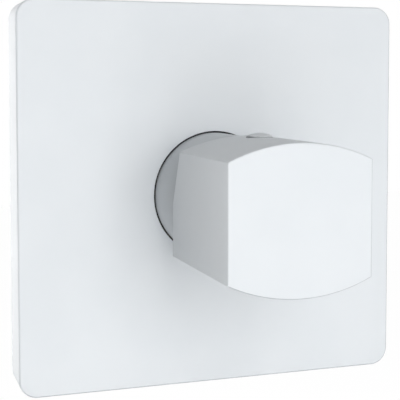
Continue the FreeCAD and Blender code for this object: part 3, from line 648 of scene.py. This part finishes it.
@dataclass(frozen=True)
class CastBrass(Finish):
    """Sand-cast brass with machined seats: grainy skin, brown oxide, a mould seam, bright cut faces."""

    colour: Rgb = (0.50, 0.355, 0.155)
    oxide_colour: Rgb = (0.25, 0.165, 0.075)
    cut_colour: Rgb = (0.68, 0.51, 0.25)
    edge_colour: Rgb = (0.66, 0.50, 0.25)
    sand_size: float = 0.0011
    sand_depth: float = 0.00013
    sand_rough: float = 0.2
    grit_size: float = 0.0004
    grit_depth: float = 0.00004
    oxide_size: float = 0.022
    oxide_limits: Limits = (0.42, 0.7)
    oxide_rough: float = 0.16
    seam_width: float = 0.0006
    seam_depth: float = 0.00025
    scratch_size: float = 0.0016
    scratch_stretch: Stretch = (1.0, 1.0, 0.07)
    scratch_depth: float = 0.00001
    scratch_rough: float = 0.16
    port_y: float = 0.036
    port_face: float = 0.0618
    bore_r: float = 0.0096
    neck_y: float = 0.0012
    foot_y: float = 0.0568
    cut_soft: float = 0.0001
    cut_gloss: float = 0.22
    cut_metal: float = 0.08
    metal: float = 0.92
    rough: float = 0.48
    edge_r: float = 0.0005
    edge_share: float = 0.6
    cut_edge_loss: float = 0.5

    def cut_mask(self, tree: FinishTree) -> Sock:
        """Mask of the machined faces.

        Args:
            tree: the tree that takes the nodes.

        Returns:
            A value that is 1 on cut faces and in the ports.
        """
        x, y, z = tree.axes
        soft = self.cut_soft
        centre = (0.0, self.port_y, 0.0)
        side_bore = tree.from_axis(Axis.X, centre).band(self.bore_r + soft, self.bore_r)
        upper_bore = tree.from_axis(Axis.Z, centre).band(self.bore_r + soft, self.bore_r)
        upper_bore = upper_bore * z.band(0.0, soft)
        faces = abs(x).most(z).band(self.port_face - soft, self.port_face)
        neck = y.band(self.neck_y, self.neck_y - soft)
        foot = y.band(self.foot_y - soft, self.foot_y)
        return faces.most(neck).most(foot).most(side_bore).most(upper_bore)

    def dress(self, tree: FinishTree) -> None:
        """Adds skin, oxide, seam and cut faces.

        Args:
            tree: the tree that takes the nodes.
        """
        cut = self.cut_mask(tree)
        skin = 1.0 - cut
        sand = tree.noise(self.sand_size, detail=4.0)
        grit = tree.cells(self.grit_size)
        oxide = tree.noise(self.oxide_size, detail=6.0).band(*self.oxide_limits)
        seam = abs(tree.axes[Axis.Y.value] - self.port_y).band(self.seam_width, 0.0) * skin
        scratch = tree.noise(self.scratch_size, detail=4.0, stretch=self.scratch_stretch) * cut
        edge = tree.edges(self.edge_r) * (1.0 - cut * self.cut_edge_loss)
        rough_skin = tree.tint(oxide, self.colour, self.oxide_colour)
        base = tree.tint(edge * self.edge_share, rough_skin, self.edge_colour)
        skin_rough = self.rough + oxide * self.oxide_rough + sand.swing(self.sand_rough)
        tree.put(
            Base_Color=tree.tint(cut, base, self.cut_colour),
            Metallic=self.metal + cut * self.cut_metal,
            Roughness=skin_rough - cut * self.cut_gloss + scratch * self.scratch_rough,
            Normal=tree.relief(
                (seam, self.seam_depth),
                (sand * skin, self.sand_depth),
                (grit * skin, self.grit_depth),
                (scratch, self.scratch_depth),
                edge=self.edge_r,
            ),
        )


@dataclass(frozen=True)
class Ceramic(Finish):
    """Lapped alumina: faint speckle and a fine cross lapping."""

    colour: Rgb = (0.84, 0.83, 0.79)
    speck_colour: Rgb = (0.70, 0.69, 0.65)
    speck_size: float = 0.0006
    speck_limits: Limits = (0.55, 0.75)
    lap_size: float = 0.0008
    lap_stretch: Stretch = (6.0, 1.0, 0.4)
    lap_depth: float = 0.000003
    lap_rough: float = 0.1
    rough: float = 0.16
    glaze: float = 0.2

    def dress(self, tree: FinishTree) -> None:
        """Adds speckle and lapping.

        Args:
            tree: the tree that takes the nodes.
        """
        speck = tree.noise(self.speck_size, detail=4.0).band(*self.speck_limits)
        lap = tree.noise(self.lap_size, detail=2.0, stretch=self.lap_stretch)
        tree.put(
            Base_Color=tree.tint(speck, self.colour, self.speck_colour),
            Roughness=self.rough + lap.swing(self.lap_rough),
            Normal=tree.relief((lap, self.lap_depth)),
            Coat_Weight=self.glaze,
        )


FINISHES: dict[Slot, Finish] = {
    Slot.ENAMEL: Enamel(),
    Slot.CAP: CapMoulding(
        colour=(0.745, 0.775, 0.800),
        streak_colour=(0.728, 0.760, 0.786),
        # Painted shade: the cap's edges are darker than the cap, not rubbed brighter.
        edge_colour=(0.58, 0.605, 0.625),
        grain_depth=0.000002,
        rough=0.38,
        rough_swing=0.06,
        edge_share=0.5,
        specular=0.35,
    ),
    Slot.RUBBER: Rubber(),
    Slot.FOAM: Foam(),
    Slot.BLACK: Moulded(),
    Slot.GREY: Moulded(
        colour=(0.50, 0.51, 0.52),
        streak_colour=(0.56, 0.57, 0.58),
        edge_colour=(0.64, 0.65, 0.66),
        rough=0.5,
    ),
    Slot.WHITE: Moulded(
        colour=(0.78, 0.78, 0.75),
        streak_colour=(0.73, 0.73, 0.70),
        edge_colour=(0.84, 0.84, 0.81),
        grain_depth=0.000008,
        rough=0.36,
    ),
    Slot.STEEL: Turned(
        colour=(0.60, 0.61, 0.63),
        stain_colour=(0.45, 0.46, 0.48),
        edge_colour=(0.74, 0.75, 0.77),
        rough=0.3,
    ),
    Slot.CAST: CastBrass(),
    Slot.TURNED: Turned(),
    Slot.WHITE_CERAMIC: Ceramic(),
    Slot.GREY_CERAMIC: Ceramic(colour=(0.66, 0.65, 0.62), speck_colour=(0.56, 0.55, 0.52)),
}


class Shelf:
    """Materials made so far, one per slot."""

    def __init__(self) -> None:
        """Starts empty."""
        self.made: dict[Slot, bpy.types.Material] = {}

    def take(self, slot: Slot) -> bpy.types.Material:
        """Material of a slot, made at its first use.

        Args:
            slot: the slot.

        Returns:
            The material.
        """
        if slot not in self.made:
            self.made[slot] = FINISHES[slot].material(slot.value)
        return self.made[slot]

    def dress(self, piece: bpy.types.Object, slot: Slot, shade: Optional[Finish] = None) -> None:
        """Puts a material on a piece in place of what it has.

        Args:
            piece: the piece.
            slot: slot whose material it takes.
            shade: finish of this piece alone, if it differs from the slot's.
        """
        material = shade.material(f"{piece.name}_{slot.value}") if shade else self.take(slot)
        piece.data.materials.clear()
        piece.data.materials.append(material)


class SubAssembly(ABC):
    """Pieces that belong together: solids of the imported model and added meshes."""

    solids: Mapping[str, Slot] = {}
    shades: Mapping[str, Finish] = {}

    def build(self, shelf: Shelf) -> None:
        """Dresses the solids, then adds the meshes.

        Args:
            shelf: source of materials.
        """
        for node, slot in self.solids.items():
            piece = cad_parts[node]
            shelf.dress(piece, slot, self.shades.get(node))
            LOG.info("%s: %s", node, slot.value)
        for piece, body, slot in self.meshes():
            shelf.dress(piece, slot)
            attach(piece, body.value)
            LOG.info("%s: %s, added", piece.name, slot.value)

    def meshes(self) -> list[Added]:
        """Added pieces with their body and slot."""
        return []


def new_piece(name: str, mesh: bmesh.types.BMesh, smooth: bool = True) -> bpy.types.Object:
    """Object from a built mesh.

    Args:
        name: name of the piece.
        mesh: the mesh, which is freed.
        smooth: True for smooth faces, False for flat ones.

    Returns:
        The object, linked to the scene.
    """
    bmesh.ops.recalc_face_normals(mesh, faces=mesh.faces)
    data = bpy.data.meshes.new(name)
    mesh.to_mesh(data)
    mesh.free()
    for face in data.polygons:
        face.use_smooth = smooth
    piece = bpy.data.objects.new(name, data)
    bpy.context.scene.collection.objects.link(piece)
    return piece


def swept(rows: Sequence[Sequence[Vector]], closed: bool) -> bmesh.types.BMesh:
    """Closed skin through rings of points.

    Args:
        rows: rings with the same number of points.
        closed: True if the last ring joins the first, otherwise the ends are capped.

    Returns:
        The mesh.
    """
    mesh = bmesh.new()
    rings = [[mesh.verts.new(point) for point in row] for row in rows]
    count = len(rings[0])
    pairs = list(zip(rings, rings[1:]))
    if closed:
        pairs.append((rings[-1], rings[0]))
    for near, far in pairs:
        for i in range(count):
            j = (i + 1) % count
            mesh.faces.new((near[i], near[j], far[j], far[i]))
    if not closed:
        mesh.faces.new(rings[0])
        mesh.faces.new(list(reversed(rings[-1])))
    return mesh


def rounded_rectangle(
    half_u: float,
    half_v: float,
    radius: float,
    steps: int,
) -> list[tuple[float, float]]:
    """Outline of a rectangle with round corners.

    Args:
        half_u: half its size along the first axis.
        half_v: half its size along the second axis.
        radius: radius of the corners.
        steps: number of steps in a corner.

    Returns:
        Its points about the middle, in order.
    """
    points = []
    for quarter in range(4):
        middle_u = (half_u - radius) * (1 if quarter in (0, 3) else -1)
        middle_v = (half_v - radius) * (1 if quarter in (0, 1) else -1)
        for step in range(steps + 1):
            angle = (quarter + step / steps) * math.pi / 2
            points.append((middle_u + radius * math.cos(angle), middle_v + radius * math.sin(angle)))
    return points


@dataclass
class CoverSet(SubAssembly):
    """Wall plate with its gasket, carrier, screws and slit seal."""

    gasket_half_width: float = 0.0753
    gasket_half_height: float = 0.0728
    gasket_corner: float = 0.0048
    gasket_band: float = 0.0063
    gasket_thick: float = 0.002
    gasket_round: float = 0.0006
    corner_steps: int = 12
    round_steps: int = 4

    def __post_init__(self) -> None:
        """Names the solids."""
        self.solids = {
            "cover_plate": Slot.ENAMEL,
            "plate_carrier": Slot.BLACK,
            "carrier_screws": Slot.STEEL,
            "plate_seal": Slot.RUBBER,
        }

    def gasket(self) -> bpy.types.Object:
        """Foam frame with soft edges.

        Returns:
            The piece, in place of the plain solid.
        """
        half_band = self.gasket_band / 2
        half_thick = self.gasket_thick / 2
        section = rounded_rectangle(half_band, half_thick, self.gasket_round, self.round_steps)
        rows = []
        for across, depth in section:
            inset = half_band - across
            loop = rounded_rectangle(
                self.gasket_half_width - inset,
                self.gasket_half_height - inset,
                self.gasket_corner,
                self.corner_steps,
            )
            rows.append([Vector((x, depth - half_thick, z)) for x, z in loop])
        piece = new_piece("foam_gasket", swept(rows, closed=True))
        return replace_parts(piece, "plate_gasket")

    def meshes(self) -> list[Added]:
        """The foam gasket."""
        return [(self.gasket(), Body.WALL, Slot.FOAM)]


@dataclass
class SleeveSet(SubAssembly):
    """Sleeve in the plate's enamel painted darker as shade, dome cap and the rings that hold them."""

    # Painted shade: the plate's enamel made about a tenth darker, for the shade on the sleeve near the
    # plate.
    coat: Enamel = Enamel(colour=(0.664, 0.690, 0.712), cloud_colour=(0.648, 0.677, 0.701))

    def __post_init__(self) -> None:
        """Names the solids and the sleeve's painted-shade enamel."""
        self.solids = {"sleeve": Slot.ENAMEL, "dome_cap": Slot.ENAMEL, "sleeve_rings": Slot.RUBBER}
        self.shades = {"sleeve": self.coat}


@dataclass
class ValveBody(SubAssembly):
    """Casting in the wall with cut pipe threads, and the nut on its neck."""

    port_y: float = 0.036
    port_reach: float = 0.062
    thread_r: float = 0.0093
    thread_pitch: float = 0.001814
    thread_height: float = 0.0006
    thread_root: float = 0.0001
    thread_turns: float = 7.4
    thread_start: float = 0.0009
    foot_share: float = 0.46
    crest_share: float = 0.10
    steps_per_turn: int = 56
    runout_turns: float = 0.8
    runout_least: float = 0.02

    def __post_init__(self) -> None:
        """Names the solids."""
        self.solids = {"valve_body": Slot.CAST, "clamp_nut": Slot.TURNED}

    def thread(self, name: str, out: Vector, side: Vector) -> bpy.types.Object:
        """Helical ridge in one port.

        Args:
            name: name of the piece.
            out: direction out of the port.
            side: a direction across the port.

        Returns:
            The piece.
        """
        other = out.cross(side)
        mouth = Vector((0.0, self.port_y, 0.0)) + out * self.port_reach
        root = self.thread_r + self.thread_root
        count = int(self.thread_turns * self.steps_per_turn)
        rows = []
        for step in range(count + 1):
            turn = step / self.steps_per_turn
            angle = math.tau * turn
            fade = min(1.0, turn / self.runout_turns, (self.thread_turns - turn) / self.runout_turns)
            crest = self.thread_r - self.thread_height * max(fade, self.runout_least)
            middle = self.thread_start + (turn + 0.5) * self.thread_pitch
            ray = side * math.cos(angle) + other * math.sin(angle)
            profile = (
                (root, -self.foot_share),
                (crest, -self.crest_share),
                (crest, self.crest_share),
                (root, self.foot_share),
            )
            row = []
            for radius, shift in profile:
                depth = middle + shift * self.thread_pitch
                row.append(mouth - out * depth + ray * radius)
            rows.append(row)
        return new_piece(name, swept(rows, closed=False), smooth=False)

    def meshes(self) -> list[Added]:
        """The three port threads.

        Returns:
            The threads with their body and slot.
        """
        across = Vector((0.0, 1.0, 0.0))
        ways = {
            "hot_port_thread": Vector((-1.0, 0.0, 0.0)),
            "cold_port_thread": Vector((1.0, 0.0, 0.0)),
            "outlet_thread": Vector((0.0, 0.0, 1.0)),
        }
        return [(self.thread(name, out, across), Body.WALL, Slot.TURNED) for name, out in ways.items()]


@dataclass
class Cartridge(SubAssembly):
    """Ceramic cartridge with its discs, seals and rotor."""

    def __post_init__(self) -> None:
        """Names the solids."""
        self.solids = {
            "cartridge_housing": Slot.GREY,
            "cartridge_base": Slot.BLACK,
            "port_seals": Slot.RUBBER,
            "disc_seals": Slot.RUBBER,
            "fixed_disc": Slot.WHITE_CERAMIC,
            "moving_disc": Slot.GREY_CERAMIC,
            "disc_carrier": Slot.WHITE,
            "turning_guide": Slot.WHITE,
            "pivot_pin": Slot.STEEL,
        }


@dataclass
class LeverSet(SubAssembly):
    """Handle on its spindle, with the grub screw and its cap."""

    def __post_init__(self) -> None:
        """Names the solids."""
        self.solids = {
            "handle": Slot.ENAMEL,
            "lever_spindle": Slot.TURNED,
            "grub_screw": Slot.STEEL,
            "screw_plug": Slot.CAP,
        }


@dataclass(frozen=True)
class Lamp:
    """One white soft box, sized in metres."""

    name: str
    place: Point
    width: float
    height: float
    watts: float
    aim: Point = ORIGIN

    def build(self) -> None:
        """Adds an area light that faces its aim."""
        data = bpy.data.lights.new(self.name, "AREA")
        data.shape = "RECTANGLE"
        data.size = self.width
        data.size_y = self.height
        data.energy = self.watts
        lamp = bpy.data.objects.new(self.name, data)
        lamp.location = self.place
        lamp.rotation_euler = (Vector(self.aim) - Vector(self.place)).to_track_quat("-Z", "Y").to_euler()
        lamp.visible_camera = False
        bpy.context.scene.collection.objects.link(lamp)


@dataclass
class Studio:
    """Floor, surround, lamps and camera."""

    floor_z: float = -0.5
    floor_side: float = 8.0
    floor_colour: Rgb = (0.86, 0.86, 0.86)
    floor_white: float = 0.97
    floor_glow: float = 1.02
    ambient: float = 0.02
    ambient_colour: Rgb = (0.97, 0.985, 1.0)
    white_rays: tuple[str, str, str] = ("Is Camera Ray", "Is Glossy Ray", "Is Transmission Ray")
    camera_place: Point = (-0.12994, -0.38712, 0.04361)
    camera_yaw: float = 0.32461
    camera_pitch: float = -0.05703
    camera_near: float = 0.01
    focal_px: float = 991.36
    image_px: float = 400.0
    centre_px: tuple[float, float] = (200.0, 140.0)
    sensor_mm: float = 36.0
    lamps: tuple[Lamp, ...] = (
        Lamp("low_left_box", (-0.32, -0.88, -0.34), 0.5, 0.5, 0.5),
        Lamp("front_left_box", (-0.61, -1.67, 0.25), 0.9, 0.9, 3.2),
        Lamp("front_low_box", (0.0, -0.94, -0.34), 0.5, 0.5, 1.3),
        Lamp("front_box", (0.0, -1.48, 0.21), 0.75, 0.75, 6.3),
        Lamp("front_top_box", (0.0, -1.48, 1.03), 0.9, 0.9, 5.4),
        Lamp("front_right_box", (0.61, -1.67, 0.25), 0.9, 0.9, 4.7),
        Lamp("right_box", (1.16, -0.31, 0.0), 0.6, 0.6, 0.5),
        Lamp("left_rim_box", (-1.08, 0.73, 0.0), 0.6, 0.6, 4.2),
        Lamp("back_left_box", (-0.65, 1.13, 0.03), 0.6, 1.1, 7.6),
        Lamp("right_rim_box", (1.18, 0.55, 0.0), 0.6, 0.6, 2.8),
        Lamp("top_box", (0.0, 0.1, 1.3), 0.6, 0.6, 1.0),
        Lamp("back_right_box", (0.65, 1.13, 0.1), 0.6, 0.6, 1.6),
        Lamp("back_top_box", (0.0, 0.75, 1.06), 0.6, 0.6, 1.6),
    )

    def white_share(self, nodes: Nodes) -> Sock:
        """Share of rays that should see a white surround.

        Args:
            nodes: the tree that takes the nodes.

        Returns:
            A value that is 1 for camera, glossy and transmission rays.
        """
        path = nodes.add("ShaderNodeLightPath").outputs
        first, second, third = [Sock(nodes, path[name]) for name in self.white_rays]
        return first.most(second).most(third)

    def surround(self) -> None:
        """White world for the camera and a softer one for light."""
        world = bpy.data.worlds.new("surround")
        bpy.context.scene.world = world
        world.use_nodes = True
        nodes = Nodes(world.node_tree)
        dim = {"Color": self.ambient_colour, "Strength": self.ambient}
        soft = nodes.add("ShaderNodeBackground", None, dim)
        white = nodes.add("ShaderNodeBackground", None, {"Color": WHITE, "Strength": 1.0})
        mix = nodes.blend(self.white_share(nodes), soft, white)
        nodes.add("ShaderNodeOutputWorld", None, {"Surface": mix})

    def floor(self) -> None:
        """Pale floor that keeps a little of the object's shadow."""
        mesh = bmesh.new()
        bmesh.ops.create_grid(mesh, x_segments=1, y_segments=1, size=self.floor_side / 2)
        floor = new_piece("floor", mesh)
        floor.location = (0.0, 0.0, self.floor_z)
        material = bpy.data.materials.new("pale_floor")
        material.use_nodes = True
        nodes = Nodes(material.node_tree)
        matt = nodes.add("ShaderNodeBsdfDiffuse", None, {"Color": self.floor_colour})
        white = nodes.add("ShaderNodeEmission", None, {"Color": WHITE, "Strength": self.floor_glow})
        mix = nodes.blend(self.white_share(nodes) * self.floor_white, matt, white)
        nodes.add("ShaderNodeOutputMaterial", None, {"Surface": mix})
        floor.data.materials.append(material)

    def camera(self) -> None:
        """Camera at the photograph's place and angle."""
        data = bpy.data.cameras.new("camera")
        data.sensor_width = self.sensor_mm
        data.lens = self.focal_px / self.image_px * self.sensor_mm
        half = self.image_px / 2
        data.shift_x = (half - self.centre_px[0]) / self.image_px
        data.shift_y = (self.centre_px[1] - half) / self.image_px
        data.clip_start = self.camera_near
        camera = bpy.data.objects.new("camera", data)
        camera.location = self.camera_place
        camera.rotation_euler = (math.pi / 2 + self.camera_pitch, 0.0, -self.camera_yaw)
        bpy.context.scene.collection.objects.link(camera)
        bpy.context.scene.camera = camera

    def build(self) -> None:
        """Sets the stage."""
        bpy.context.scene.view_settings.view_transform = "Standard"
        self.surround()
        self.floor()
        for lamp in self.lamps:
            lamp.build()
        self.camera()
        LOG.info("studio: %d lamps", len(self.lamps))


def main() -> None:
    """Builds the sub-assemblies in order, then the studio."""
    logging.basicConfig(level=logging.INFO, format="%(name)s: %(message)s")
    shelf = Shelf()
    for part in (CoverSet(), SleeveSet(), ValveBody(), Cartridge(), LeverSet()):
        part.build(shelf)
    Studio().build()


if __name__ == "__main__":
    main()
